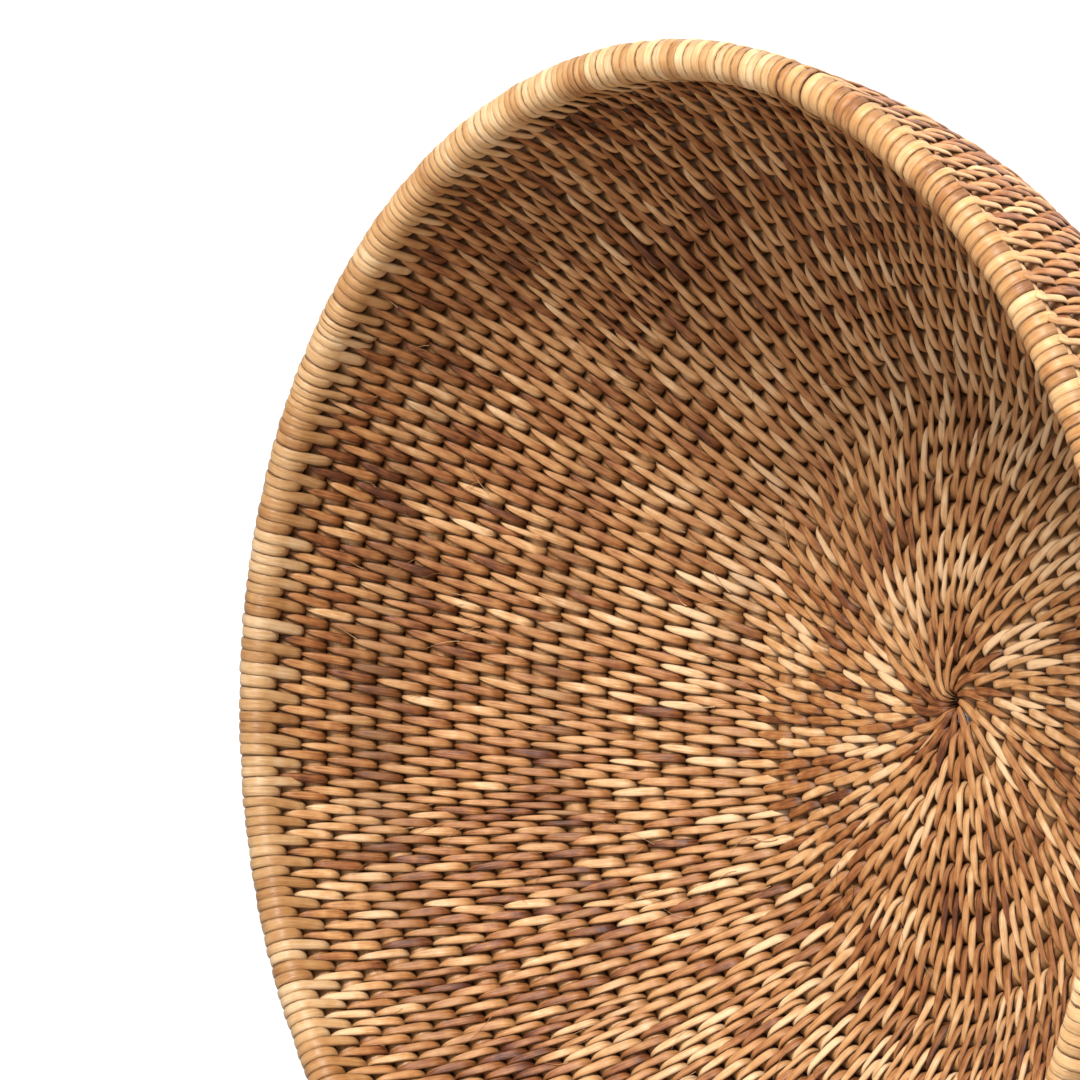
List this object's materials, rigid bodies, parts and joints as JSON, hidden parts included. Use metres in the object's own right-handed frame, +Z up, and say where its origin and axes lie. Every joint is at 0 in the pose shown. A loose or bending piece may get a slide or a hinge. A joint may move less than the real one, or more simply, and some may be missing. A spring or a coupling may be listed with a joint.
{
  "type": "winnowing basket",
  "caption": "Coiled rattan basket, a shallow round bowl with a flat floor, a stitched wall that curls up and a thicker bound rim, for tossing and sifting grain.",
  "frame": {"origin": "under the middle of the outline, on the plane the basket rests on", "axes": "+Z up, out of the mouth; the rim begins and ends at the -Y side and the mouth is higher at the +X and +Y sides"},
  "size_m": [0.3686, 0.3662, 0.1283],
  "materials": {
    "binding_cane": "satin, split cane peel",
    "rim_cane": "satin, split cane peel, lighter",
    "core_cane": "matte, round cane"
  },
  "bodies": {
    "root": {"centre_binding": "binding_cane", "turn_01_binding": "binding_cane", "turn_02_binding": "binding_cane", "turn_03_binding": "binding_cane", "turn_04_binding": "binding_cane", "turn_05_binding": "binding_cane", "turn_06_binding": "binding_cane", "turn_07_binding": "binding_cane", "turn_08_binding": "binding_cane", "turn_09_binding": "binding_cane", "turn_10_binding": "binding_cane", "turn_11_binding": "binding_cane", "turn_12_binding": "binding_cane", "turn_13_binding": "binding_cane", "turn_14_binding": "binding_cane", "turn_15_binding": "binding_cane", "turn_16_binding": "binding_cane", "turn_17_binding": "binding_cane", "turn_18_binding": "binding_cane", "turn_19_binding": "binding_cane", "turn_20_binding": "binding_cane", "turn_21_binding": "binding_cane", "turn_22_binding": "binding_cane", "turn_23_binding": "binding_cane", "turn_24_binding": "binding_cane", "turn_25_binding": "binding_cane", "turn_26_binding": "binding_cane", "turn_27_binding": "binding_cane", "turn_28_binding": "binding_cane", "turn_29_binding": "binding_cane", "rim_binding": "rim_cane", "core_length_1": "core_cane", "core_length_2": "core_cane", "core_length_3": "core_cane", "core_length_4": "core_cane", "core_length_5": "core_cane", "core_length_6": "core_cane", "core_length_7": "core_cane", "core_length_8": "core_cane", "rim_core": "core_cane"}
  },
  "joints": []
}
